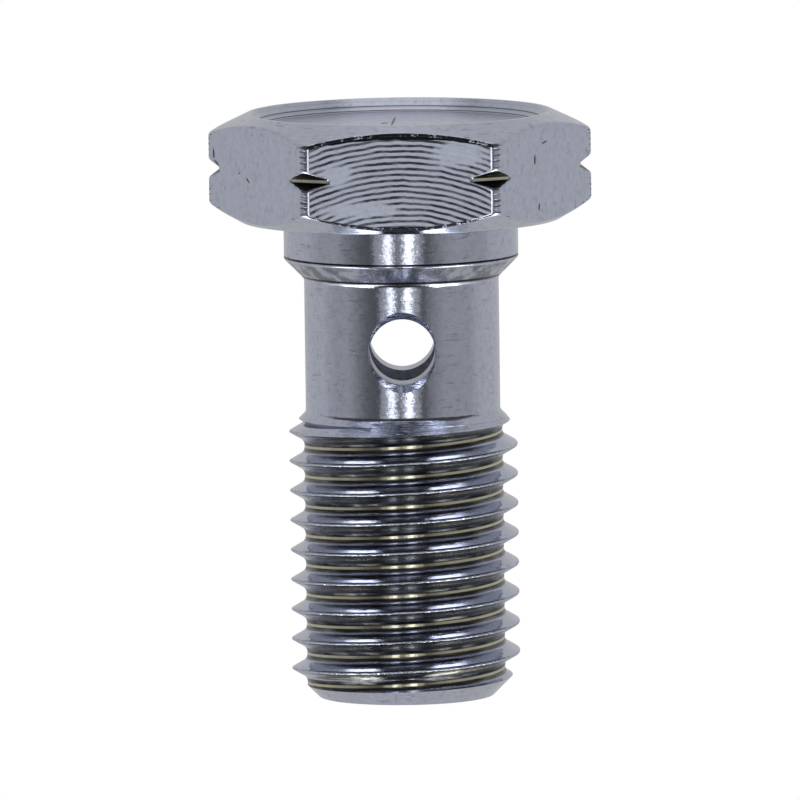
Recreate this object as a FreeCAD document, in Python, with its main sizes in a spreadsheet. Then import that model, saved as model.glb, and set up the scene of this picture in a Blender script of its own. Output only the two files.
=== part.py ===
"""Banjo bolt: one turned piece of hexagon bar.

A hexagon head with a dished top and a turned ring groove, a collar, a reduced shank with a cross hole, and
a right-hand thread whose end is drilled up to meet the cross hole.

The bolt stands on its threaded end, as it does in the photograph. +Z runs along its axis to the head, the
origin is the middle of the end face, and the cross hole runs along Y, square to two flats of the head.
"""

import FreeCAD
import Part
import Sketcher
import math
import os

NODE = "banjo_bolt"

# Every driving dimension, in millimetres and degrees, with what it measures.
SIZES = [
    ("across_flats", 16.8, "head, over two opposite flats"),
    ("head_height", 5.45, "head, seat face to rim"),
    ("corner_radius", 0.55, "rounding of the bar's six corners"),
    ("chamfer_inset", 0.425, "from the flats in to the circle where both head chamfers start"),
    ("chamfer_angle", 30, "head chamfers, from the end planes"),
    ("ring_depth", 0.7, "ring groove, from the hexagon's sharp corners in to its floor"),
    ("ring_floor_width", 0.2, "flat floor of the ring groove"),
    ("ring_angle", 60, "ring groove, between its flanks"),
    ("rim_land", 0.225, "flat rim between the top chamfer and the dish"),
    ("dish_slope", 0.75, "sloping side of the dish, seen from above"),
    ("dish_depth", 0.63, "rim to floor of the dish"),
    ("collar_diameter", 11.8, "collar under the head"),
    ("collar_length", 1.9, "collar, from the seat face"),
    ("shoulder_angle", 45, "cone from collar to shank, from the axis"),
    ("shank_diameter", 9.8, "reduced shank"),
    ("shank_length", 7.75, "thread to collar, with the shoulder"),
    ("cross_hole_diameter", 3.3, "hole through the shank"),
    ("cross_hole_rise", 3.4, "thread to the axis of the cross hole"),
    ("deburring", 0.38, "width of the chamfers at both mouths of the cross hole"),
    ("deburring_angle", 90, "those chamfers, between their flanks"),
    ("thread_length", 14.45, "threaded end, up to the shank"),
    ("thread_diameter", 11.65, "thread over its crests, M12 with its allowance"),
    ("thread_pitch", 1.5, "rise of the thread in one turn"),
    ("thread_angle", 60, "between the flanks of the thread"),
    ("root_flat", 0.5, "flat root of the thread, between two turns"),
    ("runout_angle", 45, "cone from shank to thread, from the axis"),
    ("end_chamfer", 1.425, "from the crests in to the flat end that the bolt stands on"),
    ("end_angle", 45, "end chamfer, from the axis"),
    ("bore_diameter", 5.0, "hole drilled up from the threaded end"),
    ("bore_past_cross_hole", 0.6, "full bore above the top of the cross hole"),
    ("drill_point", 118, "tip of the drill that made the bore"),
]

# Heights that several features share, worked out from the sizes above.
COLLAR = "sizes.thread_length + sizes.shank_length"
SEAT = f"{COLLAR} + sizes.collar_length"
RIM = f"{SEAT} + sizes.head_height"
RING = f"{SEAT} + sizes.head_height / 2"
CROSS_HOLE = "sizes.thread_length + sizes.cross_hole_rise"
THREAD_DEPTH = "(sizes.thread_pitch - sizes.root_flat) / 2 / tan(sizes.thread_angle * 1deg / 2)"
CORE = f"(sizes.thread_diameter / 2 - {THREAD_DEPTH})"

# How a sketch numbers the points of a line or a circle, and its own two axes.
START, END, CENTRE = 1, 2, 3
ORIGIN_LINES = {"across": -2, "up": -1}

SMALLEST_CHANGE = 0.01  # mm3, which even the deburring of the cross hole exceeds


def write_sheet(doc):
    """The driving dimensions: name, value and meaning in three columns."""
    sheet = doc.addObject("Spreadsheet::Sheet", "sizes")
    for row, (alias, value, meaning) in enumerate(SIZES, start=1):
        sheet.set(f"A{row}", alias)
        sheet.set(f"B{row}", str(value))
        sheet.set(f"C{row}", meaning)
        sheet.setAlias(f"B{row}", alias)
    doc.recompute()
    return sheet


def origin_plane(body, role):
    """One of the body's own origin planes."""
    return next(item for item in body.Origin.OriginFeatures if item.Role == role)


def add_sketch(body, name, role, shift=None):
    """A sketch on one of the body's origin planes, moved along one of its own axes by a formula."""
    sketch = body.newObject("Sketcher::SketchObject", name)
    sketch.AttachmentSupport = [(origin_plane(body, role), "")]
    sketch.MapMode = "FlatFace"
    if shift:
        direction, formula = shift
        sketch.setExpression(f".AttachmentOffset.Base.{direction}", formula)
    return sketch


def dimension(sketch, kind, corner, formula):
    """Ties one corner's distance from the sketch's origin to a formula."""
    distance = "DistanceX" if kind == "across" else "DistanceY"
    value = float(sketch.evalExpression(formula))
    index = sketch.addConstraint(Sketcher.Constraint(distance, -1, START, corner, START, value))
    sketch.setExpression(f"Constraints[{index}]", formula)


def draw_outline(sketch, corners):
    """A closed outline through corners given as (across, up) formulas, fully dimensioned.

    A corner level with the one before it, or straight above or below it, shares its figure through a
    Horizontal or Vertical line, so each figure is dimensioned once. A figure of 0 puts the corner on the
    sketch's axis.
    """
    points = [FreeCAD.Vector(*(float(sketch.evalExpression(f)) for f in corner), 0) for corner in corners]
    for corner, point in enumerate(points):
        sketch.addGeometry(Part.LineSegment(point, points[(corner + 1) % len(points)]), False)
    for corner in range(len(corners)):
        following = (corner + 1) % len(corners)
        sketch.addConstraint(Sketcher.Constraint("Coincident", corner, END, following, START))
    for place, kind, alignment in ((0, "across", "Vertical"), (1, "up", "Horizontal")):
        for corner, formulas in enumerate(corners):
            formula = formulas[place]
            if formula == "0":
                sketch.addConstraint(Sketcher.Constraint("PointOnObject", corner, START, ORIGIN_LINES[kind]))
            elif corner and formula == corners[corner - 1][place]:
                sketch.addConstraint(Sketcher.Constraint(alignment, corner - 1))
            else:
                dimension(sketch, kind, corner, formula)


def draw_circle(sketch, diameter, up):
    """A circle with its centre that far up the sketch's own axis, or at its origin for a figure of 0."""
    centre = FreeCAD.Vector(0, float(sketch.evalExpression(up)), 0)
    width = float(sketch.evalExpression(diameter))
    circle = sketch.addGeometry(Part.Circle(centre, FreeCAD.Vector(0, 0, 1), width / 2), False)
    size = sketch.addConstraint(Sketcher.Constraint("Diameter", circle, width))
    sketch.setExpression(f"Constraints[{size}]", diameter)
    sketch.addConstraint(Sketcher.Constraint("PointOnObject", circle, CENTRE, ORIGIN_LINES["across"]))
    if up == "0":
        sketch.addConstraint(Sketcher.Constraint("PointOnObject", circle, CENTRE, ORIGIN_LINES["up"]))
    else:
        height = sketch.addConstraint(Sketcher.Constraint("DistanceY", -1, START, circle, CENTRE, centre.y))
        sketch.setExpression(f"Constraints[{height}]", up)


def turn(body, name, corners, cut, shift=None):
    """Revolves an outline about the bolt's axis, to add metal or to cut a groove."""
    sketch = add_sketch(body, f"{name}_profile", "XZ_Plane", shift)
    draw_outline(sketch, corners)
    feature = body.newObject("PartDesign::Groove" if cut else "PartDesign::Revolution", name)
    feature.Profile = sketch
    feature.ReferenceAxis = (sketch, ["V_Axis"])
    feature.Angle = 360


def add_hexagon_bar(body):
    """The head as a length of hexagon bar with rounded corners, a flat facing the front."""
    sketch = add_sketch(body, "bar_section", "XY_Plane", shift=("z", SEAT))
    half_flats = "sizes.across_flats / 2"
    corner_circle = float(sketch.evalExpression(f"{half_flats} / cos(30deg)"))
    corners = [FreeCAD.Vector(corner_circle * math.cos(angle), corner_circle * math.sin(angle), 0)
               for angle in (math.radians(60 * side) for side in range(6))]
    for side in range(6):
        sketch.addGeometry(Part.LineSegment(corners[side], corners[(side + 1) % 6]), False)
    guide = sketch.addGeometry(Part.Circle(FreeCAD.Vector(), FreeCAD.Vector(0, 0, 1), corner_circle), True)
    sketch.addConstraint(Sketcher.Constraint("Coincident", guide, CENTRE, -1, START))
    for side in range(6):
        sketch.addConstraint(Sketcher.Constraint("Coincident", side, END, (side + 1) % 6, START))
        sketch.addConstraint(Sketcher.Constraint("PointOnObject", side, START, guide))
    for side in range(1, 6):
        sketch.addConstraint(Sketcher.Constraint("Equal", 0, side))
    sketch.addConstraint(Sketcher.Constraint("PointOnObject", 0, START, ORIGIN_LINES["up"]))
    dimension(sketch, "up", 1, half_flats)
    bar = body.newObject("PartDesign::Pad", "hexagon_bar")
    bar.Profile = sketch
    bar.setExpression("Length", "sizes.head_height")
    body.Document.recompute()
    upright = [f"Edge{number}" for number, edge in enumerate(bar.Shape.Edges, start=1)
               if abs(math.hypot(edge.CenterOfMass.x, edge.CenterOfMass.y) - corner_circle) < 1e-6]
    rounding = body.newObject("PartDesign::Fillet", "bar_corners")
    rounding.Base = (bar, upright)
    rounding.setExpression("Radius", "sizes.corner_radius")


def turn_head(body):
    """What the lathe takes off the bar: both chamfers, the ring groove round the corners and the dish."""
    outside = "sizes.across_flats"
    chamfer = f"({outside} / 2 - sizes.chamfer_inset)"
    slope = f"({outside} - {chamfer}) * tan(sizes.chamfer_angle * 1deg)"
    turn(body, "top_chamfer", [
        (chamfer, RIM),
        (outside, f"{RIM} - {slope}"),
        (outside, RIM),
    ], cut=True)
    turn(body, "bottom_chamfer", [
        (chamfer, SEAT),
        (outside, SEAT),
        (outside, f"{SEAT} + {slope}"),
    ], cut=True)
    floor = f"({outside} / 2 / cos(30deg) - sizes.ring_depth)"
    half_floor = "sizes.ring_floor_width / 2"
    half_mouth = f"({half_floor} + ({outside} - {floor}) * tan(sizes.ring_angle * 1deg / 2))"
    turn(body, "ring_groove", [
        (floor, f"{RING} - {half_floor}"),
        (outside, f"{RING} - {half_mouth}"),
        (outside, f"{RING} + {half_mouth}"),
        (floor, f"{RING} + {half_floor}"),
    ], cut=True)
    mouth = f"{chamfer} - sizes.rim_land"
    dish_bottom = f"{RIM} - sizes.dish_depth"
    turn(body, "dish", [
        ("0", dish_bottom),
        (f"{mouth} - sizes.dish_slope", dish_bottom),
        (mouth, RIM),
        ("0", RIM),
    ], cut=True)


def wind_thread(body):
    """The right-hand thread: a sharp-crested ridge wound round a core, both a little longer than the thread.

    The ridge is rooted in the core and widens on inside it by half of the flat root between two turns, so
    that neighbouring turns stay apart.
    """
    pitch = "sizes.thread_pitch"
    core_end = f"sizes.thread_length + {pitch}"
    turn(body, "thread_core", [("0", "0"), (CORE, "0"), (CORE, core_end), ("0", core_end)], cut=False)
    sketch = add_sketch(body, "thread_profile", "XZ_Plane", shift=("y", f"-{pitch}"))
    rooted = f"{CORE} - sizes.root_flat / 4 / tan(sizes.thread_angle * 1deg / 2)"
    draw_outline(sketch, [
        (rooted, "sizes.root_flat / 4"),
        ("sizes.thread_diameter / 2", f"{pitch} / 2"),
        (rooted, f"{pitch} - sizes.root_flat / 4"),
    ])
    thread = body.newObject("PartDesign::AdditiveHelix", "thread")
    thread.Profile = sketch
    thread.ReferenceAxis = (sketch, ["V_Axis"])
    thread.Mode = "pitch-height-angle"
    thread.LeftHanded = False
    thread.setExpression("Pitch", pitch)
    thread.setExpression("Height", core_end)


def turn_thread_ends(body):
    """Faces both ends of the thread: a chamfered flat end below, and a cone down to the shank above."""
    waste = "2 * sizes.thread_pitch"
    outside = "sizes.thread_diameter"
    end = f"({outside} / 2 - sizes.end_chamfer)"
    shank = "sizes.shank_diameter / 2"
    turn(body, "end_face", [
        ("0", "0"),
        (outside, "0"),
        (outside, f"{waste} + ({outside} - {end}) / tan(sizes.end_angle * 1deg)"),
        (end, waste),
        ("0", waste),
    ], cut=True, shift=("y", f"-{waste}"))
    turn(body, "runout", [
        ("0", "sizes.thread_length"),
        (shank, "sizes.thread_length"),
        (outside, f"sizes.thread_length - ({outside} - {shank}) / tan(sizes.runout_angle * 1deg)"),
        (outside, f"sizes.thread_length + {waste}"),
        ("0", f"sizes.thread_length + {waste}"),
    ], cut=True)


def turn_stem(body):
    """Shank, shoulder and collar, from the thread up to the seat."""
    collar = "sizes.collar_diameter / 2"
    shank = "sizes.shank_diameter / 2"
    turn(body, "stem", [
        ("0", "sizes.thread_length"),
        (shank, "sizes.thread_length"),
        (shank, f"{COLLAR} - ({collar} - {shank}) / tan(sizes.shoulder_angle * 1deg)"),
        (collar, COLLAR),
        (collar, SEAT),
        ("0", SEAT),
    ], cut=False)


def drill_bore(body):
    """The blind bore up the middle, past the cross hole, with a drill point."""
    sketch = add_sketch(body, "bore_centre", "XY_Plane")
    draw_circle(sketch, "sizes.bore_diameter", up="0")
    body.Document.recompute()
    bore = body.newObject("PartDesign::Hole", "bore")
    bore.Profile = sketch
    bore.Reversed = True
    bore.Threaded = False
    bore.DepthType = "Dimension"
    bore.DrillPoint = "Angled"
    body.Document.recompute()
    bore.setExpression("Diameter", "sizes.bore_diameter")
    bore.setExpression("Depth", f"{CROSS_HOLE} + sizes.cross_hole_diameter / 2 + sizes.bore_past_cross_hole")
    bore.setExpression("DrillPointAngle", "sizes.drill_point")


def drill_cross_hole(body):
    """The hole through the shank, deburred at the front, and the same cut mirrored to deburr the back."""
    sketch = add_sketch(body, "cross_hole_centre", "XZ_Plane", shift=("z", "sizes.shank_diameter / 2"))
    draw_circle(sketch, "sizes.cross_hole_diameter", up=CROSS_HOLE)
    body.Document.recompute()
    hole = body.newObject("PartDesign::Hole", "cross_hole")
    hole.Profile = sketch
    hole.Threaded = False
    hole.DepthType = "ThroughAll"
    hole.HoleCutType = "Countersink"
    body.Document.recompute()
    hole.setExpression("Diameter", "sizes.cross_hole_diameter")
    hole.setExpression("HoleCutDiameter", "sizes.cross_hole_diameter + 2 * sizes.deburring")
    hole.setExpression("HoleCutCountersinkAngle", "sizes.deburring_angle")
    body.Document.recompute()
    back = body.newObject("PartDesign::Mirrored", "cross_hole_back")
    back.Originals = [hole]
    back.MirrorPlane = (origin_plane(body, "XZ_Plane"), [""])
    body.Tip = back


def check(doc, body):
    """Stops unless every object is sound, each feature adds or takes metal, and the bolt is one solid."""
    for item in doc.Objects:
        if {"Invalid", "Error"} & set(item.State):
            raise RuntimeError(f"{item.Name} failed: {item.State}")
    solids = [item for item in body.Group if item.isDerivedFrom("PartDesign::Feature")]
    for before, feature in zip(solids, solids[1:]):
        if abs(feature.Shape.Volume - before.Shape.Volume) < SMALLEST_CHANGE:
            raise RuntimeError(f"{feature.Name} changes nothing")
    if body.Shape.isNull() or not body.Shape.isValid() or len(body.Shape.Solids) != 1:
        raise RuntimeError("the bolt isn't one valid solid")


doc = FreeCAD.newDocument(NODE)
write_sheet(doc)
body = doc.addObject("PartDesign::Body", NODE)
body.Label = NODE
wind_thread(body)
turn_thread_ends(body)
turn_stem(body)
add_hexagon_bar(body)
turn_head(body)
drill_bore(body)
drill_cross_hole(body)
doc.recompute()
check(doc, body)
os.makedirs("parts", exist_ok=True)
body.Shape.exportStep(f"parts/{body.Label}.step")
print(f"{body.Label}: {body.Shape.Volume:.1f} mm3, {len(body.Shape.Faces)} faces")
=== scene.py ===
"""Looks of the banjo bolt: one bright zinc plated bolt turned from hexagon bar, in a white light tent.

The bolt is modelled the way it is made. An outline is drawn and turned into the blank with its stem, the
head's sides are pressed to the hexagon, the thread is wound, and the holes are drilled.
"""

import bpy
import functools
import math
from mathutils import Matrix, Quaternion, Vector


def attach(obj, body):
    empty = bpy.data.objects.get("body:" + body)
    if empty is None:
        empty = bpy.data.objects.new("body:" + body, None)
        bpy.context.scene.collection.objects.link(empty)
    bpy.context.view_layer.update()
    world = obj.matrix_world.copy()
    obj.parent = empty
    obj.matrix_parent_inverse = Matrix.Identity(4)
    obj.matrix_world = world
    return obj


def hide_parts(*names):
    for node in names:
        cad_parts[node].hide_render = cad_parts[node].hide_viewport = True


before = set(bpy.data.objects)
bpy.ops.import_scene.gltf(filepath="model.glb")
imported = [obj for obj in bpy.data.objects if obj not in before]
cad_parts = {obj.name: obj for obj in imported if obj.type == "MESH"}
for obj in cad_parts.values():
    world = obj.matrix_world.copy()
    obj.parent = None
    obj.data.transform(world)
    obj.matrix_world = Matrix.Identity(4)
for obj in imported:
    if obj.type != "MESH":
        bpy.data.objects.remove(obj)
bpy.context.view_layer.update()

MM = 0.001
NODE = "banjo_bolt"

# The bolt's own sizes in millimetres, up from the end face that it stands on.
FLATS = 8.4                # axis to each flat of the head
CORNER_ROUNDING = 0.55
HALF_SECTOR = math.radians(30)
THREAD_TOP = 14.45
COLLAR = 22.2              # where the collar ends and its cone starts
SEAT = 24.1
RIM = 29.55
DISH_DEPTH = 0.63
DISH_RING = 3.0            # a ring of points that divides the dish's floor
DISH_FOOT = 6.87           # radius at the foot of the dish's wall
DISH_MOUTH = 7.5
CHAMFER = 7.975            # radius where the head's lower chamfer starts
TOP_CHAMFER = 7.67         # and its shallower top chamfer
LOWER_SLOPE = math.tan(math.radians(30))
TOP_SLOPE = math.tan(math.radians(25.5))
RING = (SEAT + RIM) / 2    # middle of the ring groove
RING_FLOOR = 9.1
RING_FLOOR_HALF = 0.1
RING_MOUTH_HALF = 0.12     # half its mouth where it starts, which widens towards the corners
RING_SLOPE = math.tan(math.radians(34))
CORNER_START = 9.3         # from this radius on, the edges at the corners are rounder
CORNER_SPAN = 0.31
SHANK = 4.9
STEM = 5.9                 # radius of the collar
CONE_FOOT = COLLAR - (STEM - SHANK)
FLARE = 0.35               # the shank's flare into the thread's runout
CORE = 4.8                 # radius of the blank inside the thread
CORE_TOP = THREAD_TOP - 0.5
CORE_FOOT = 0.5
PITCH = 1.5
CREST = 5.75
CREST_HALF = 0.04          # half the width of the flat on a crest
CREST_ROUNDING = 0.07
SHARP_CREST = CREST + 0.07     # where the two flanks would meet
FLANK_SLOPE = math.tan(math.radians(30))
ROOT = 4.99
ROOT_ROUNDING = 0.38
ROOT_STEPS = 8
THREAD_PHASE = -0.05       # height of a root on the +X side
THREAD_TURNS = 12
END_FACE = 4.4             # radius of the face that the bolt stands on
RUNOUT = 1.55              # height of the cone that ends the thread
BORE = 2.5
BORE_TOP = 20.1
BORE_CHAMFER = 0.2
DRILL_POINT = math.radians(59)
CROSS_HOLE = 17.85
CROSS_RADIUS = 1.65
DEBURRING = 0.38

COLUMNS = 360              # turned steps round the axis
CROWDING = 0.7             # how closely the columns crowd at the corners, from 0 to 1
TURN_STEPS = 120           # steps in one turn of the thread
SUPPORT = 0.04             # from an arc's end to the point that holds the surface flat beside it
BEND_STEPS = 4


# Mesh helpers

def start_piece(name):
    """An empty mesh in edit mode, with one point at the origin to draw from."""
    bpy.ops.object.select_all(action="DESELECT")
    bpy.ops.mesh.primitive_plane_add(size=1 * MM)
    piece = bpy.context.object
    piece.name = name
    bpy.ops.object.mode_set(mode="EDIT")
    bpy.ops.mesh.merge(type="CENTER")
    return piece


def draw_line(points):
    """Draws an open outline in the XZ plane by extruding one point from place to place, in millimetres."""
    across, up = points[0]
    bpy.ops.transform.translate(value=(across * MM, 0, up * MM))
    for next_across, next_up in points[1:]:
        step = ((next_across - across) * MM, 0, (next_up - up) * MM)
        bpy.ops.mesh.extrude_vertices_move(TRANSFORM_OT_translate={"value": step})
        across, up = next_across, next_up


def rounded(corners):
    """An outline with each corner (across, up, radius) rounded by an arc, as a list of points.

    Each corner gives the same number of points, whatever its angle, so that outlines of one kind match. An arc
    takes no more than its share of the sides next to it.
    """
    points = []
    for i, (x, z, radius) in enumerate(corners):
        if i == 0 or i == len(corners) - 1 or radius == 0:
            points.append((x, z))
            continue
        before, after = corners[i - 1], corners[i + 1]
        back = (before[0] - x, before[1] - z)
        on = (after[0] - x, after[1] - z)
        len_back, len_on = math.hypot(*back), math.hypot(*on)
        cosine = (back[0] * on[0] + back[1] * on[1]) / (len_back * len_on)
        half_turn = (math.pi - math.acos(max(-1, min(1, cosine)))) / 2
        tangent = min(radius * math.tan(half_turn), 0.4 * len_back, 0.4 * len_on)
        support = min(tangent + SUPPORT, 0.46 * len_back, 0.46 * len_on)
        a = (x + back[0] / len_back * tangent, z + back[1] / len_back * tangent)
        b = (x + on[0] / len_on * tangent, z + on[1] / len_on * tangent)
        weight = math.cos(half_turn)
        points.append((x + back[0] / len_back * support, z + back[1] / len_back * support))
        for step in range(BEND_STEPS + 1):
            t = step / BEND_STEPS
            parts = ((1 - t) ** 2, 2 * t * (1 - t) * weight, t ** 2)
            points.append(tuple((parts[0] * a[k] + parts[1] * (x, z)[k] + parts[2] * b[k]) / sum(parts)
                                for k in (0, 1)))
        points.append((x + on[0] / len_on * support, z + on[1] / len_on * support))
    return points


def drive(piece, kind, **settings):
    """Adds a modifier with its settings and applies it."""
    modifier = piece.modifiers.new(kind.lower(), kind)
    for key, value in settings.items():
        setattr(modifier, key, value)
    bpy.ops.object.select_all(action="DESELECT")
    piece.select_set(True)
    bpy.context.view_layer.objects.active = piece
    bpy.ops.object.modifier_apply(modifier=modifier.name)


def weld(piece):
    """Merges doubled points and turns the faces outwards."""
    bpy.ops.object.select_all(action="DESELECT")
    piece.select_set(True)
    bpy.context.view_layer.objects.active = piece
    bpy.ops.object.mode_set(mode="EDIT")
    bpy.ops.mesh.select_all(action="SELECT")
    bpy.ops.mesh.remove_doubles(threshold=0.001 * MM)
    bpy.ops.mesh.normals_make_consistent(inside=False)
    bpy.ops.object.mode_set(mode="OBJECT")


def turned_solid(name, corners, steps=180):
    """A closed turned solid from an outline that starts and ends on the axis."""
    solid = start_piece(name)
    draw_line(rounded(corners))
    bpy.ops.mesh.select_all(action="SELECT")
    bpy.ops.mesh.spin(steps=steps, angle=math.tau, center=(0, 0, 0), axis=(0, 0, 1))
    bpy.ops.object.mode_set(mode="OBJECT")
    weld(solid)
    return solid


def cut(piece, tool, operation="DIFFERENCE"):
    """Cuts the piece with a tool, or joins or trims it to it, and clears the tool away."""
    drive(piece, "BOOLEAN", object=tool, operation=operation, solver="EXACT")
    bpy.data.objects.remove(tool, do_unlink=True)


# The blank

def hexagon_reach(angle):
    """From the axis to the side of the rounded hexagon, in that direction; a corner lies at angle 0."""
    off_corner = (math.degrees(angle) + 30) % 60 - 30
    off = math.radians(abs(off_corner))
    centre = (FLATS - CORNER_ROUNDING) / math.cos(HALF_SECTOR)
    touch = math.atan2(CORNER_ROUNDING * math.sin(HALF_SECTOR),
                       centre + CORNER_ROUNDING * math.cos(HALF_SECTOR))
    if off < touch:
        return centre * math.cos(off) + math.sqrt(CORNER_ROUNDING ** 2 - (centre * math.sin(off)) ** 2)
    return FLATS / math.cos(HALF_SECTOR - off)


def blank_outline(reach):
    """From the middle of the dish out over the head and down the stem, where the hexagon reaches that far."""
    fall = (reach - TOP_CHAMFER) * TOP_SLOPE
    climb = (reach - CHAMFER) * LOWER_SLOPE
    floor = min(RING_FLOOR, reach)
    # The radii of the head's edges and of the ring groove's lips grow towards the corners.
    corner = max(0.0, (reach - CORNER_START) / CORNER_SPAN)
    edge = 0.2 + 0.09 * corner
    lip = 0.06 + 0.12 * corner
    mouth = RING_MOUTH_HALF + (reach - floor) * RING_SLOPE
    return rounded([
        (0, RIM - DISH_DEPTH, 0),
        (DISH_RING, RIM - DISH_DEPTH, 0),
        (DISH_FOOT, RIM - DISH_DEPTH, 0.12),
        (DISH_MOUTH, RIM, 0.07),
        (TOP_CHAMFER, RIM, 0.12),
        (reach, RIM - fall, edge),
        (reach, RING + mouth, lip),
        (floor, RING + RING_FLOOR_HALF, 0.08),
        (floor, RING - RING_FLOOR_HALF, 0.08),
        (reach, RING - mouth, lip),
        (reach, SEAT + climb, edge),
        (CHAMFER, SEAT, 0.5),
        (STEM, SEAT, 0.12),
        (STEM, COLLAR, 0.12),
        (SHANK, CONE_FOOT, 0.35),
        (SHANK, THREAD_TOP, 0.3),
        (SHANK + FLARE, THREAD_TOP - FLARE, 0),
        (CORE, CORE_TOP, 0),
        (CORE, CORE_FOOT, 0),
        (0, CORE_FOOT, 0),
    ])


outlines = {}


def blank_outline_at(angle):
    """The blank's outline in that direction, kept in outlines for the next point of the same column."""
    key = round(angle, 5)
    if key not in outlines:
        outlines[key] = blank_outline(hexagon_reach(angle))
    return outlines[key]


def turn_blank():
    """Head, collar, shank and core in one turned piece, its sides pressed to the hexagon.

    It is turned as round as its corners reach. Each point then takes the place that the same point of the
    outline has in its own direction.
    """
    blank = start_piece("blank")
    corner_outline = blank_outline(hexagon_reach(0))
    draw_line(corner_outline)
    bpy.ops.mesh.select_all(action="SELECT")
    bpy.ops.mesh.spin(steps=COLUMNS, angle=math.tau, center=(0, 0, 0), axis=(0, 0, 1))
    bpy.ops.object.mode_set(mode="OBJECT")
    numbers = {}
    for number, (radius, z) in enumerate(corner_outline):
        numbers.setdefault((round(radius, 4), round(z, 4)), number)
    for point in blank.data.vertices:
        x, y, z = (value / MM for value in point.co)
        radius = math.hypot(x, y)
        number = numbers.get((round(radius, 4), round(z, 4)))
        if number is None:
            number = min(range(len(corner_outline)),
                         key=lambda n: math.dist(corner_outline[n], (radius, z)))
        turned = math.atan2(y, x)
        turned -= CROWDING * math.sin(6 * turned) / 6
        new_radius, new_height = blank_outline_at(turned)[number]
        across, along = new_radius * math.cos(turned), new_radius * math.sin(turned)
        point.co = (across * MM, along * MM, new_height * MM)
    weld(blank)
    return blank


# The thread

def thread_profile():
    """One pitch of the thread, from root to root over the crest, with its roots rounded into the flanks."""
    half = PITCH / 2
    foot = half - (SHARP_CREST - ROOT) * FLANK_SLOPE
    flat = foot - ROOT_ROUNDING * FLANK_SLOPE
    root = [(ROOT, 0)]
    for step in range(ROOT_STEPS + 1):
        turn = math.radians(60) * step / ROOT_STEPS
        root.append((ROOT + ROOT_ROUNDING * (1 - math.cos(turn)), flat + ROOT_ROUNDING * math.sin(turn)))
    rise, along = root[-1]
    crest = rounded([
        (rise, along, 0),
        (CREST, half - CREST_HALF, CREST_ROUNDING),
        (CREST, half + CREST_HALF, CREST_ROUNDING),
        (rise, PITCH - along, 0),
    ])
    return root + crest[1:-1] + [(x, PITCH - z) for x, z in reversed(root)]


def wind_thread():
    """The right-hand thread as one closed ridge wound round the core, faced to the end and the runout."""
    ridge = start_piece("ridge")
    draw_line([(x, z + THREAD_PHASE - 2 * PITCH) for x, z in thread_profile()])
    bpy.ops.object.mode_set(mode="OBJECT")
    drive(ridge, "SCREW", angle=math.tau, screw_offset=PITCH * MM, iterations=THREAD_TURNS, steps=TURN_STEPS,
          render_steps=TURN_STEPS, axis="Z", use_merge_vertices=True, merge_threshold=0.001 * MM)
    bpy.ops.object.mode_set(mode="EDIT")
    bpy.ops.mesh.select_all(action="SELECT")
    bpy.ops.mesh.remove_doubles(threshold=0.004 * MM)
    # Both ends are sawn off a little outside the gauge that trims them.
    for height, keep_above in ((-0.4, True), (THREAD_TOP + 0.3, False)):
        bpy.ops.mesh.select_all(action="SELECT")
        bpy.ops.mesh.bisect(plane_co=(0, 0, height * MM), plane_no=(0, 0, 1), use_fill=True,
                            clear_inner=keep_above, clear_outer=not keep_above)
    bpy.ops.mesh.select_all(action="SELECT")
    bpy.ops.mesh.normals_make_consistent(inside=False)
    bpy.ops.object.mode_set(mode="OBJECT")
    # The gauge is wider than the crests, and ends just under the shank's surface.
    cone = 2.0
    wide, narrow = END_FACE + cone, SHANK - 0.02
    cut(ridge, turned_solid("thread_gauge", [
        (0, 0, 0),
        (END_FACE, 0, 0.12),
        (wide, cone, 0),
        (wide, THREAD_TOP - RUNOUT, 0),
        (narrow, THREAD_TOP, 0),
        (narrow, THREAD_TOP + 0.2, 0),
        (0, THREAD_TOP + 0.2, 0),
    ]), "INTERSECT")
    return ridge


def drill_holes(bolt):
    """The bore with its drill point, and the cross hole with both its mouths deburred."""
    cut(bolt, turned_solid("drill", [
        (0, -1, 0),
        (BORE + BORE_CHAMFER + 1, -1, 0),
        (BORE, BORE_CHAMFER, 0.1),
        (BORE, BORE_TOP, 0),
        (0, BORE_TOP + BORE / math.tan(DRILL_POINT), 0),
    ], steps=96))
    shoulder = SHANK - DEBURRING
    past = 1.5
    reamer = turned_solid("reamer", [
        (0, -shoulder - past, 0),
        (CROSS_RADIUS + past, -shoulder - past, 0),
        (CROSS_RADIUS, -shoulder, 0.06),
        (CROSS_RADIUS, shoulder, 0.06),
        (CROSS_RADIUS + past, shoulder + past, 0),
        (0, shoulder + past, 0),
    ], steps=96)
    reamer.rotation_euler = (math.radians(90), 0, 0)
    reamer.location = (0, 0, CROSS_HOLE * MM)
    bpy.ops.object.transform_apply(location=True, rotation=True, scale=True)
    cut(bolt, reamer)


# Finishes

ZINC = "#cbd0e1"           # bright zinc with a blue passivate: a cold grey with a little lilac
ZINC_FACED = "#b3b8c8"     # the same on the faced flats, which are rougher and so look darker
ZINC_BORE_WITH_PAINTED_LIGHT = "#e9ebf2"      # thin zinc without passivate, whiter; the whiteness is partly painted light that brightens the bore
ZINC_ROOT = "#ccc9b4"      # the passivate pools a little yellow in the roots of the thread and the groove
ZINC_WORN_AND_PAINTED_SHADE = "#1f2127"      # the floor of a scratch or tool mark, and the colour of painted shade

MIX_ONE, MIX_OTHER, MIXED = 6, 7, 2    # the colour sockets of a mix node: its two inputs and its output


def linear(hex_colour):
    """A colour written in sRGB hex, as the linear values that Blender takes."""
    parts = [int(hex_colour[i:i + 2], 16) / 255 for i in (1, 3, 5)]
    return tuple(p / 12.92 if p <= 0.04045 else ((p + 0.055) / 1.055) ** 2.4 for p in parts) + (1,)


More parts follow.
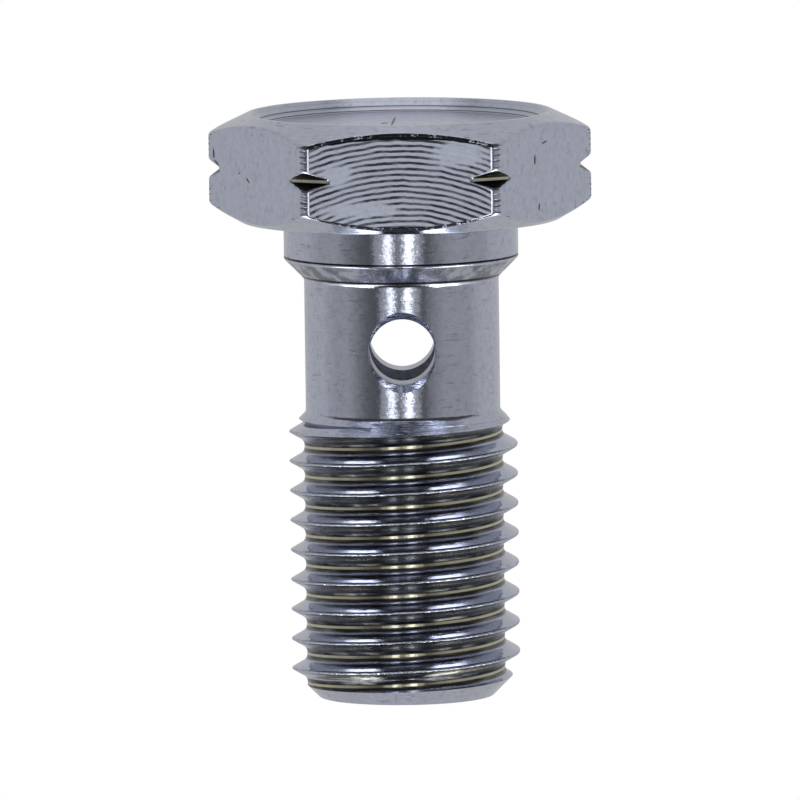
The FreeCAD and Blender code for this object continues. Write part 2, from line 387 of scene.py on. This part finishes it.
def add_node(tree, kind, inputs=(), stops=(), output=0, **settings):
    """Adds a node with its settings and links, and gives one of its outputs.

    Inputs are listed from the first on or named, each a value or another node's output to be linked from.
    Stops are the places and greys of a colour ramp.
    """
    made = tree.nodes.new("ShaderNode" + kind)
    for key, value in settings.items():
        setattr(made, key, value)
    for key, value in inputs.items() if isinstance(inputs, dict) else enumerate(inputs):
        if isinstance(value, bpy.types.NodeSocket):
            tree.links.new(value, made.inputs[key])
        else:
            made.inputs[key].default_value = value
    if stops:
        handles = made.color_ramp.elements
        handles[0].position, handles[1].position = stops[0][0], stops[-1][0]
        for place, _ in stops[1:-1]:
            handles.new(place)
        for handle, (_, grey) in zip(sorted(handles, key=lambda h: h.position), stops):
            handle.color = (grey, grey, grey, 1)
    return made.outputs[output] if made.outputs else None


def zinc_finish(name, marks, roughness=0.13, waves=0.006, deep=None, nicks=(), plate=ZINC):
    """Bright zinc plated steel, with the marks that one way of working leaves, and painted shade on some
    pieces.

    The plate is thin and bright, so it shows every mark of the steel below it. marks takes a function that
    adds nodes, and Object coordinates in millimetres. It returns the height of the marks in millimetres, how
    dark they look, painted shade included, and how much they dull the shine. Each nick is an ellipsoid with
    its middle, turn and half sizes. deep is the radius at which the passivate pools, and plate is the plate's
    colour elsewhere.
    """
    material = bpy.data.materials.new(name)
    material.use_nodes = True
    material.node_tree.nodes.clear()
    add = functools.partial(add_node, material.node_tree)
    place = add("TexCoord", output="Object")
    place = add("VectorMath", [place, (1 / MM, 1 / MM, 1 / MM)], operation="MULTIPLY")
    height, dark, dull = marks(add, place)
    # A plated surface is never quite flat: soft waves of 1 mm and a grain of 0.15 mm.
    wave = add("TexNoise", {"Vector": place, "Scale": 1.1, "Detail": 2})
    grain = add("TexNoise", {"Vector": place, "Scale": 7, "Detail": 3})
    height = add("Math", [wave, waves, height], operation="MULTIPLY_ADD")
    height = add("Math", [grain, 0.004, height], operation="MULTIPLY_ADD")
    bump = add("Bump", {"Height": height, "Distance": MM, "Strength": 1.0})
    # The plate is a little cloudy, with specks of a third of a millimetre.
    cloud = add("TexNoise", {"Vector": place, "Scale": 3.0, "Detail": 5, "Roughness": 0.65})
    cloud = add("ValToRGB", [cloud], stops=[(0.0, 0.55), (0.3, 0.3), (0.4, 0.1), (0.6, 0.0), (1.0, 0.0)])
    dark = add("Math", [dark, cloud], operation="MAXIMUM")
    for middle, turn, half_sizes in nicks:
        off = add("Mapping", {"Vector": place, "Location": middle, "Scale": half_sizes,
                              "Rotation": [math.radians(angle) for angle in turn]}, vector_type="TEXTURE")
        off = add("VectorMath", [off], operation="LENGTH", output="Value")
        nick = add("ValToRGB", [off], stops=[(0.0, 0.9), (0.7, 0.9), (1.0, 0.0), (1.0, 0.0)])
        dark = add("Math", [dark, nick], operation="MAXIMUM")
    clean = linear(plate)
    if deep:
        depth = add("MapRange", {
            "Value": radius_of(add, place), "From Min": deep + 0.05, "From Max": deep + 0.01})
        clean = add("Mix", {0: depth, MIX_ONE: clean, MIX_OTHER: linear(ZINC_ROOT)},
                    data_type="RGBA", output=MIXED)
    # Marks darken towards the dark colour, and so does the painted shade of some finishes.
    colour = add("Mix", {0: dark, MIX_ONE: clean, MIX_OTHER: linear(ZINC_WORN_AND_PAINTED_SHADE)},
                 data_type="RGBA", output=MIXED)
    dull = add("Math", [roughness, dull], operation="ADD")
    dull = add("Math", [dark, 0.2, dull], operation="MULTIPLY_ADD")
    metal = add("BsdfPrincipled", {"Base Color": colour, "Metallic": 1.0, "Roughness": dull, "Normal": bump})
    add("OutputMaterial", [metal])
    return material


def radius_of(add, place):
    """How far a place is from the bolt's axis."""
    level = add("VectorMath", [place, (1, 1, 0)], operation="MULTIPLY")
    return add("VectorMath", [level], operation="LENGTH", output="Value")


def turned_marks_and_shade(add, place):
    """Fine rings of a turning tool, drawn 0.2 mm apart, coarser than the real ones so that they show.

    Short dark dashes lie along them. Both ends of the cone under the collar get a thin dark ring of painted
    shade, and the cone between them is darkened in blotches, also painted shade.
    """
    up = add("SeparateXYZ", [place], output="Z")
    rings = add("TexNoise", {"Vector": add("Mapping", {"Vector": place, "Scale": (0.5, 0.5, 6.0)}),
                             "Scale": 1.0, "Detail": 3, "Roughness": 0.6})
    dashes = add("TexNoise", {"Vector": add("Mapping", {"Vector": place, "Scale": (1.3, 1.3, 9.0)}),
                              "Scale": 1.0, "Detail": 3})
    blotches = add("TexNoise", {"Vector": place, "Scale": 1.3, "Detail": 3, "Roughness": 0.6})
    dashes = add("ValToRGB", [dashes], stops=[(0.0, 0.5), (0.34, 0.35), (0.43, 0.0), (1.0, 0.0)])
    patchy = add("ValToRGB", [blotches], stops=[(0.0, 1.0), (0.42, 1.0), (0.56, 0.15), (1.0, 0.1)])
    dark = add("Math", [dashes, patchy], operation="MULTIPLY")
    sway = add("Math", [blotches, 0.5], operation="SUBTRACT")
    # Painted shade: a thin dark ring at each end of the cone, along its edges.
    for height, half_width in ((COLLAR + 0.13, 0.08), (CONE_FOOT + 0.15, 0.1)):
        off = add("Math", [up, height], operation="SUBTRACT")
        off = add("Math", [off], operation="ABSOLUTE")
        off = add("Math", [off, 4 * half_width], operation="DIVIDE")
        off = add("Math", [sway, 0.15, off], operation="MULTIPLY_ADD")
        ring = add("ValToRGB", [off], stops=[(0.0, 1.0), (0.12, 1.0), (0.2, 0.0), (1.0, 0.0)])
        dark = add("Math", [dark, ring], operation="MAXIMUM")
    # Painted shade on the cone between its ends, in blotches.
    on_cone = add("Math", [up, CONE_FOOT], operation="SUBTRACT")
    on_cone = add("Math", [on_cone, STEM - SHANK], operation="DIVIDE")
    cone_shade_mask = add("ValToRGB", [on_cone], stops=[(0.0, 0.0), (0.08, 1.0), (0.9, 1.0), (1.0, 0.0)])
    cone_shade = add("ValToRGB", [blotches], stops=[(0.0, 0.75), (0.45, 0.65), (0.6, 0.15), (1.0, 0.05)])
    cone_shade = add("Math", [cone_shade_mask, cone_shade], operation="MULTIPLY")
    dark = add("Math", [dark, cone_shade], operation="MAXIMUM")
    # The tool tore as much as it cut, in short flats that fray the edges of what the steel mirrors. The cone
    # is calmer.
    torn = add("TexNoise", {"Vector": add("Mapping", {"Vector": place, "Scale": (1.5, 1.5, 6.0)}),
                            "Scale": 1.0, "Detail": 2})
    calm = add("ValToRGB", [on_cone], stops=[(0.0, 1.0), (0.04, 0.15), (0.96, 0.15), (1.0, 1.0)])
    torn = add("Math", [torn, calm], operation="MULTIPLY")
    torn = add("Math", [torn, 0.016], operation="MULTIPLY")
    return add("Math", [rings, 0.009, torn], operation="MULTIPLY_ADD"), dark, 0.0


def drawn_marks(add, place):
    """The flats of the drawn bar, which the tool hasn't touched."""
    return 0.0, 0.0, 0.0


def faced_marks_and_shade(add, place):
    """Arcs of a facing cutter across the front and back flats, 0.29 mm apart, with a middle 10.9 mm below.

    They are deep enough to look like dark lines, waver a little, and are rubbed out in patches. Painted shade
    darkens the flat along both chamfers.
    """
    arc_gap, arc_middle = 0.29, 15.9
    on_flat = add("VectorMath", [place, (1, 0, 1)], operation="MULTIPLY")
    sway = add("TexNoise", {"Vector": place, "Scale": 0.7, "Detail": 1})
    ragged = add("TexNoise", {"Vector": place, "Scale": 1.6, "Detail": 3})
    arc = add("VectorMath", [on_flat, (0, 0, arc_middle)], operation="DISTANCE", output="Value")
    arc = add("Math", [sway, 0.12, arc], operation="MULTIPLY_ADD")
    arc = add("Math", [ragged, 0.12, arc], operation="MULTIPLY_ADD")
    arc = add("Math", [arc, math.tau / arc_gap], operation="MULTIPLY")
    arc = add("Math", [arc], operation="SINE")
    arc = add("Math", [arc, 0.5, 0.5], operation="MULTIPLY_ADD")
    line = add("ValToRGB", [arc], stops=[(0.0, 0.05), (0.42, 0.05), (0.78, 1.0), (1.0, 1.0)])
    uneven = add("TexNoise", {"Vector": place, "Scale": 1.5, "Detail": 1})
    uneven = add("ValToRGB", [uneven], stops=[(0.0, 0.75), (0.4, 0.75), (0.6, 1.0), (1.0, 1.0)])
    line = add("Math", [line, uneven], operation="MULTIPLY")
    # Rubbed patches, each with its middle and half sizes across and up.
    for middle, half_sizes in (((3.0, 0, 28.1), (1.3, 1, 0.5)), ((-2.0, 0, 25.4), (1.5, 1, 0.35)),
                               ((-3.2, 0, 27.1), (0.7, 1, 0.5))):
        off = add("VectorMath", [on_flat, middle], operation="SUBTRACT")
        off = add("VectorMath", [off, half_sizes], operation="DIVIDE")
        off = add("VectorMath", [off], operation="LENGTH", output="Value")
        off = add("Math", [ragged, 1.2, off], operation="MULTIPLY_ADD")
        off = add("Math", [off, 3.0], operation="DIVIDE")
        kept = add("ValToRGB", [off], stops=[(0.0, 0.12), (0.5, 0.12), (0.66, 1.0), (1.0, 1.0)])
        line = add("Math", [line, kept], operation="MULTIPLY")
    # A ragged band of painted shade hangs over the flat along both chamfers, widest in the middle.
    x, _, z = add("SeparateXYZ", [place]).node.outputs
    reach = radius_of(add, place)
    top = add("Math", [reach, -TOP_SLOPE, RIM + TOP_CHAMFER * TOP_SLOPE], operation="MULTIPLY_ADD")
    bottom = add("Math", [reach, LOWER_SLOPE, SEAT - CHAMFER * LOWER_SLOPE], operation="MULTIPLY_ADD")
    from_top = add("Math", [top, z], operation="SUBTRACT")
    from_bottom = add("Math", [z, bottom], operation="SUBTRACT")
    narrowing = add("Math", [x], operation="ABSOLUTE")
    narrowing = add("Math", [narrowing, -0.03], operation="MULTIPLY")
    width = add("Math", [ragged, 0.2, narrowing], operation="MULTIPLY_ADD")
    painted_edge_shade = 0.0
    for widest, from_edge in ((0.23, from_top), (0.1, from_bottom)):
        left = add("Math", [width, widest], operation="ADD")
        left = add("Math", [left, from_edge], operation="SUBTRACT")
        painted_edge_shade = add("Math", [painted_edge_shade, left], operation="MAXIMUM")
    painted_edge_shade = add("Math", [painted_edge_shade, 10.0], operation="MULTIPLY")
    painted_edge_shade = add("ValToRGB", [painted_edge_shade], stops=[(0.0, 0.0), (0.3, 1.0), (1.0, 1.0)])
    dark = add("Math", [line, 0.9], operation="MULTIPLY")
    dark = add("Math", [dark, painted_edge_shade], operation="MAXIMUM")
    return add("Math", [line, -0.006], operation="MULTIPLY"), dark, 0.0


def edge_shade_marks(add, place):
    """The rounded edges of the faced flats, painted dark as painted shade, with bits left unpainted."""
    bits = add("TexNoise", {"Vector": place, "Scale": 2.6, "Detail": 4, "Roughness": 0.7})
    dark = add("ValToRGB", [bits], stops=[(0.0, 0.95), (0.56, 0.95), (0.6, 0.0), (1.0, 0.0)])
    return add("Math", [bits, 0.08], operation="MULTIPLY"), dark, 0.0


def groove_shade_marks(add, place):
    """Walls of the ring groove painted nearly black as painted shade, and a clean dull floor."""
    from_floor = add("SeparateXYZ", [place], output="Z")
    from_floor = add("Math", [from_floor, RING], operation="SUBTRACT")
    from_floor = add("Math", [from_floor], operation="ABSOLUTE")
    # Painted shade: the walls are painted nearly black.
    dark = add("ValToRGB", [from_floor], stops=[(0.0, 0.0), (0.05, 0.0), (0.08, 0.97), (1.0, 0.97)])
    return 0.0, dark, add("Math", [dark, -0.3, 0.3], operation="MULTIPLY_ADD")


def corner_marks(add, place):
    """Short level ticks across the bar's rounded corners, 0.2 mm apart."""
    tick = add("TexNoise", {"Vector": add("Mapping", {"Vector": place, "Scale": (0, 0, 7)}),
                            "Scale": 1.0, "Detail": 2})
    line = add("ValToRGB", [tick], stops=[(0.0, 1.0), (0.43, 1.0), (0.5, 0.0), (1.0, 0.0)])
    # They stop where the corner runs into the faced flat at the front or back.
    off_faced = add("SeparateXYZ", [place], output="Y")
    off_faced = add("Math", [off_faced], operation="ABSOLUTE")
    off_faced = add("Math", [off_faced, FLATS - 0.05], operation="SUBTRACT")
    off_faced = add("ValToRGB", [off_faced], stops=[(0.0, 1.0), (0.03, 1.0), (0.04, 0.0), (1.0, 0.0)])
    line = add("Math", [line, off_faced], operation="MULTIPLY")
    dark = add("Math", [line, 0.75], operation="MULTIPLY")
    return add("Math", [line, -0.006], operation="MULTIPLY"), dark, 0.0


def dish_marks(add, place):
    """Rings that the facing tool left in the dish, 0.3 mm apart and uneven."""
    reach = radius_of(add, place)
    uneven = add("TexNoise", {"Vector": add("CombineXYZ", [reach]), "Scale": 3.3, "Detail": 3})
    line = add("ValToRGB", [uneven], stops=[(0.0, 0.35), (0.36, 0.35), (0.44, 0.0), (1.0, 0.0)])
    # The tool stopped twice at the foot of the dish's wall and left two darker rings there, 0.2 mm apart.
    off = add("Math", [reach, DISH_FOOT + 0.15], operation="SUBTRACT")
    off = add("Math", [off], operation="ABSOLUTE")
    off = add("Math", [off, 0.1], operation="SUBTRACT")
    off = add("Math", [off], operation="ABSOLUTE")
    off = add("Math", [off, 0.1], operation="DIVIDE")
    ring = add("ValToRGB", [off], stops=[(0.0, 0.765), (0.15, 0.765), (0.36, 0.0), (1.0, 0.0)])
    dark = add("Math", [line, ring], operation="MAXIMUM")
    return add("Math", [uneven, 0.015], operation="MULTIPLY"), dark, 0.0


def thread_marks_and_shade(add, place):
    """Drag lines along the thread, the same in every turn, dirt and painted shade on its flanks, and dents in
    its crests.
    """
    x, y, z = add("SeparateXYZ", [place]).node.outputs
    turn = add("Math", [y, x], operation="ARCTAN2")
    turn = add("Math", [turn, math.tau], operation="DIVIDE")
    turns_up = add("Math", [z, THREAD_PHASE], operation="SUBTRACT")
    turns_up = add("Math", [turns_up, PITCH], operation="DIVIDE")
    turns_up = add("Math", [turns_up, turn], operation="SUBTRACT")
    # From a root at 0 over the flank that faces down, the crest in the middle, and down to the next root. Both
    # flanks and a line beside the crest are darkened, as dirt and painted shade; the roots and crests stay
    # clean.
    share = add("Math", [turns_up], operation="FRACT")
    flank_dirt_and_shade = add("ValToRGB", [share], stops=[
        (0.0, 0.0), (0.034, 0.0), (0.052, 1.0), (0.12, 1.0), (0.19, 0.9), (0.25, 0.3), (0.38, 0.2),
        (0.43, 0.85), (0.448, 0.0), (0.55, 0.0), (0.6, 0.05), (0.8, 0.1), (0.84, 0.8), (0.948, 1.0),
        (0.966, 0.0), (1.0, 0.0)])
    across = add("Math", [share, PITCH], operation="MULTIPLY")
    lines = add("TexNoise", {"Vector": add("CombineXYZ", [across]), "Scale": 9.0, "Detail": 2})
    # Streaks of 1 to 2 mm along the thread and a fifth of that across it.
    patches = add("TexNoise", {"Vector": add("Mapping", {"Vector": place, "Scale": (1, 1, 5)}),
                               "Scale": 0.9, "Detail": 3})
    streaked_dirt_and_shade = add("ValToRGB", [patches], stops=[(0.0, 1.0), (0.42, 1.0), (0.65, 0.8), (1.0, 0.7)])
    dark = add("Math", [flank_dirt_and_shade, streaked_dirt_and_shade], operation="MULTIPLY")
    # The crests are dented by handling, in bits of 0.3 mm that catch the light from every side.
    crest = add("ValToRGB", [share], stops=[
        (0.0, 0.0), (0.43, 0.0), (0.46, 0.12), (0.53, 0.12), (0.56, 0.0), (1.0, 0.0)])
    dents = add("TexNoise", {"Vector": place, "Scale": 3.2, "Detail": 2})
    height = add("Math", [lines, 0.01], operation="MULTIPLY")
    height = add("Math", [patches, 0.015, height], operation="MULTIPLY_ADD")
    return add("Math", [dents, crest, height], operation="MULTIPLY_ADD"), dark, crest


def drilled_marks(add, place):
    """The drill's rings, and specks of dirt, because little of the bath reaches into a hole."""
    rings = add("TexNoise", {"Vector": place, "Scale": 4.0, "Detail": 3})
    dirt = add("ValToRGB", [rings], stops=[(0.0, 0.4), (0.4, 0.1), (0.45, 0.0), (1.0, 0.0)])
    return add("Math", [rings, 0.003], operation="MULTIPLY"), dirt, 0.0


# In the order of the finishes below.
TURNED, DRAWN, FACED, CORNERS, DISH, THREAD, SHADED_EDGE, GROOVE, CROSS, BORED = range(10)


def finish_of(face):
    """Which finish a face of the bolt has, from its place and the way it faces."""
    x, y, z = (value / MM for value in face.center)
    reach = math.hypot(x, y)
    rise = abs(face.normal.z)
    off_ring = abs(z - RING)
    if math.hypot(x, z - CROSS_HOLE) < CROSS_RADIUS + 0.03:
        return CROSS
    if reach < BORE + 0.05 and z < BORE_TOP + 2:
        return BORED
    # The two cones of 45 degrees at the thread's ends are turned, not threaded.
    on_cone = (z < 1.5 and abs(face.normal.z + 0.707) < 0.08
               or z > THREAD_TOP - 1.5 and abs(face.normal.z - 0.707) < 0.08)
    if z < THREAD_TOP - FLARE and reach > BORE + 0.3 and rise < 0.95 and not on_cone:
        return THREAD
    if face.normal.z > 0.3 and reach < DISH_MOUTH + 0.1 and z > SEAT:
        return DISH
    sunk = hexagon_reach(math.atan2(y, x)) - reach
    if sunk > 0.04 and off_ring < 0.5 and (rise > 0.7 or off_ring < 0.12):
        return GROOVE
    if z > SEAT and reach > FLATS - 0.1:
        off_flat = abs(math.degrees(math.atan2(face.normal.y, face.normal.x)) % 60 - 30)
        faced = abs(face.normal.y) > 0.9 * math.hypot(face.normal.x, face.normal.y)
        # The rounded edges of the faced flats take the painted shade.
        if faced and off_flat < 12 and 0.12 < rise < 0.8 and off_ring > 1.2:
            return SHADED_EDGE
        if rise < 0.25:
            if off_flat > 1.5:
                return CORNERS
            return FACED if faced else DRAWN
    return TURNED


finishes = [
    zinc_finish("bright_zinc_plate_with_painted_shade_on_turned_steel", turned_marks_and_shade, roughness=0.1),
    zinc_finish("bright_zinc_plate_on_drawn_flats", drawn_marks, roughness=0.2, nicks=[
        ((7.24, -4.25, 28.3), (0, -12, 60), (0.3, 0.2, 0.05)),
        ((6.75, -5.1, 27.5), (0, 4, 60), (0.1, 0.2, 0.3)),
        ((6.95, -4.77, 25.1), (0, 8, 60), (0.09, 0.2, 0.22)),
        ((-7.63, -3.58, 26.5), (0, 35, -60), (0.25, 0.2, 0.06)),
        ((-8.05, -2.85, 26.8), (0, 0, -60), (0.08, 0.2, 0.05)),
        ((-9.35, -0.6, 27.6), (0, -6, -60), (0.1, 0.2, 0.3)),
        ((-9.2, -0.85, 27.15), (0, 30, -60), (0.35, 0.2, 0.06)),
    ]),
    zinc_finish("bright_zinc_plate_with_painted_shade_on_faced_flats", faced_marks_and_shade, roughness=0.3, plate=ZINC_FACED),
    zinc_finish("bright_zinc_plate_on_bar_corners", corner_marks),
    zinc_finish("bright_zinc_plate_in_the_dish", dish_marks, roughness=0.18, nicks=[
        ((-0.3, 1.4, 28.92), (0, 0, -2.6), (0.08, 2.8, 0.1)),
        ((-0.75, 0.5, 28.92), (0, 0, -20), (0.2, 0.4, 0.1)),
        ((-2.35, 7.2, 29.2), (0, 0, 18), (0.12, 0.3, 0.08)),
    ]),
    zinc_finish("bright_zinc_plate_with_painted_shade_on_cut_thread", thread_marks_and_shade, roughness=0.08, deep=ROOT),
    zinc_finish("bright_zinc_plate_with_painted_shade_on_edges", edge_shade_marks),
    zinc_finish("bright_zinc_plate_with_painted_shade_in_the_ring_groove", groove_shade_marks, deep=RING_FLOOR),
    zinc_finish("thin_zinc_plate_in_the_cross_hole", drilled_marks, roughness=0.3, waves=0.002),
    zinc_finish("dull_thin_zinc_plate_with_painted_light_in_the_bore", drilled_marks, roughness=0.8, plate=ZINC_BORE_WITH_PAINTED_LIGHT),
]


# The light tent, the floor and the camera

WHITE = (1, 1, 1, 1)
TENT_STRENGTH = 4.0        # what the greys of the tent are multiplied by
ZENITH = (0.195, 0.195, 0.195, 1)
SHEET = (1.0, 0.995, 0.965, 1)     # the sheet that the bolt stands on throws its light up a little warmer


def light_tent():
    """White to the camera. To the bolt, a pale tent with a dark gap in front and bright strips beside it."""
    world = bpy.data.worlds.new("light_tent")
    bpy.context.scene.world = world
    world.use_nodes = True
    world.node_tree.nodes.clear()
    add = functools.partial(add_node, world.node_tree)
    x, y, z = add("SeparateXYZ", [add("TexCoord", output="Generated")]).node.outputs
    # Both run from 0 to 1, with the front and the horizon at a half.
    bearing = add("Math", [y, -1.0], operation="MULTIPLY")
    bearing = add("Math", [x, bearing], operation="ARCTAN2")
    bearing = add("Math", [bearing, math.tau], operation="DIVIDE")
    bearing = add("Math", [bearing, 0.5], operation="ADD")
    elevation = add("Math", [z], operation="ARCSINE")
    elevation = add("Math", [elevation, math.pi], operation="DIVIDE")
    elevation = add("Math", [elevation, 0.5], operation="ADD")

    def round_tent(stops):
        """Greys by bearing in degrees from the front, right of it positive."""
        return add("ValToRGB", [bearing], stops=[(0.5 + degrees / 360, grey) for degrees, grey in stops])

    def go_over(tent, other, from_degrees, to_degrees):
        """The tent, going over to another one between two elevations."""
        low, high = sorted((from_degrees, to_degrees))
        at_low, at_high = (0.0, 1.0) if from_degrees < to_degrees else (1.0, 0.0)
        amount = add("ValToRGB", [elevation], stops=[
            (0.0, at_low), (0.5 + low / 180, at_low), (0.5 + high / 180, at_high), (1.0, at_high)])
        return add("Mix", {0: amount, MIX_ONE: tent, MIX_OTHER: other}, data_type="RGBA", output=MIXED)

    level = round_tent([
        (-180, 0.131), (-109, 0.131), (-99, 0.118), (-88, 0.099), (-67, 0.099), (-61, 0.081), (-54, 0.066),
        (-48, 0.05), (-42, 0.038), (-35, 0.03), (-28.5, 0.024), (-25.5, 0.1), (-18, 0.11), (-14.5, 0.5),
        (-10.5, 0.5), (-8, 0.09), (-5, 0.05), (-1.5, 0.05), (3, 0.2), (6, 0.6), (10, 0.6), (12.5, 0.12),
        (19, 0.105), (22.5, 0.035), (25, 0.025), (30, 0.048), (36, 0.068), (52, 0.098), (88, 0.1), (97, 0.12),
        (110, 0.131), (180, 0.136)])
    above = round_tent([
        (-180, 0.157), (-160, 0.13), (-110, 0.125), (-92, 0.02), (0, 0.012), (92, 0.02), (110, 0.125),
        (160, 0.13), (180, 0.157)])
    below = round_tent([
        (-180, 0.13), (-120, 0.13), (-108, 0.25), (-85, 0.25), (-75, 1.0), (-43, 1.0), (-35, 0.01), (35, 0.01),
        (43, 1.0), (75, 1.0), (85, 0.25), (108, 0.25), (120, 0.13), (180, 0.13)])
    below = add("Mix", {0: 1.0, MIX_ONE: below, MIX_OTHER: SHEET}, data_type="RGBA", blend_type="MULTIPLY",
                output=MIXED)
    nadir = round_tent([(-180, 0.135), (-60, 0.12), (-35, 0.01), (35, 0.01), (60, 0.12), (180, 0.135)])
    tent = go_over(level, above, 8, 16)
    tent = go_over(tent, ZENITH, 60, 70)
    tent = go_over(tent, below, -27, -33)
    tent = go_over(tent, nadir, -66, -74)
    inside = add("Background", {"Color": tent, "Strength": TENT_STRENGTH})
    white = add("Background", {"Color": WHITE})
    seen = add("LightPath", output="Is Camera Ray")
    add("OutputWorld", [add("MixShader", [seen, inside, white])])


def pale_floor():
    """The plain floor that the bolt stands on, white to the camera above it like the rest of the picture."""
    bpy.ops.object.select_all(action="DESELECT")
    bpy.ops.mesh.primitive_circle_add(vertices=64, radius=120 * MM, fill_type="NGON",
                                      location=(0, 0, -0.01 * MM))
    floor = bpy.context.object
    bpy.ops.object.transform_apply(location=True, rotation=True, scale=True)
    floor.name = "pale_floor"
    material = bpy.data.materials.new("white_sweep")
    material.use_nodes = True
    material.node_tree.nodes.clear()
    add = functools.partial(add_node, material.node_tree)
    white = add("Emission", {"Color": WHITE})
    clear = add("BsdfTransparent")
    from_above = add("Math", [1.0, add("NewGeometry", output="Backfacing")], operation="SUBTRACT")
    seen = add("Math", [add("LightPath", output="Is Camera Ray"), from_above], operation="MULTIPLY")
    add("OutputMaterial", [add("MixShader", [seen, clear, white])])
    floor.data.materials.append(material)


# The photograph's rows of the seat and the end face on the bolt's axis, and its middle row.
SEAT_ROW, END_ROW, MIDDLE_ROW = 219.3, 695.3, 400
OFF_AXIS = -0.15           # how far beside the bolt's axis the camera aims, in millimetres
LENS, SENSOR = 893.4, 36
DISTANCE = 1.0             # of the camera, in metres
LOOK_DOWN = math.radians(6.15)
ROLL = math.radians(-0.75)


def camera():
    """A long lens almost level with the bolt, as in the photograph."""
    data = bpy.data.cameras.new("camera")
    data.lens = LENS
    data.sensor_width = SENSOR
    data.clip_start, data.clip_end = 0.05, 5
    up = SEAT - SEAT * (MIDDLE_ROW - SEAT_ROW) / (END_ROW - SEAT_ROW)
    target = Vector((OFF_AXIS * MM, 0, up * MM))
    back = Vector((0, -math.cos(LOOK_DOWN), math.sin(LOOK_DOWN)))
    made = bpy.data.objects.new("camera", data)
    bpy.context.scene.collection.objects.link(made)
    made.location = target + back * DISTANCE
    made.rotation_mode = "QUATERNION"
    made.rotation_quaternion = (-back).to_track_quat("-Z", "Y") @ Quaternion((0, 0, 1), ROLL)
    bpy.context.scene.camera = made


# The bolt

bolt = turn_blank()
cut(bolt, wind_thread(), "UNION")
drill_holes(bolt)
bolt.name = "turned_bolt"
bpy.ops.object.select_all(action="DESELECT")
bolt.select_set(True)
bpy.context.view_layer.objects.active = bolt
bpy.ops.object.shade_smooth_by_angle(angle=math.radians(32))
bolt.data.materials.clear()
for finish in finishes:
    bolt.data.materials.append(finish)
for face in bolt.data.polygons:
    face.material_index = finish_of(face)

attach(bolt, "root")
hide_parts(NODE)

light_tent()
pale_floor()
camera()
bpy.context.scene.view_settings.view_transform = "Standard"
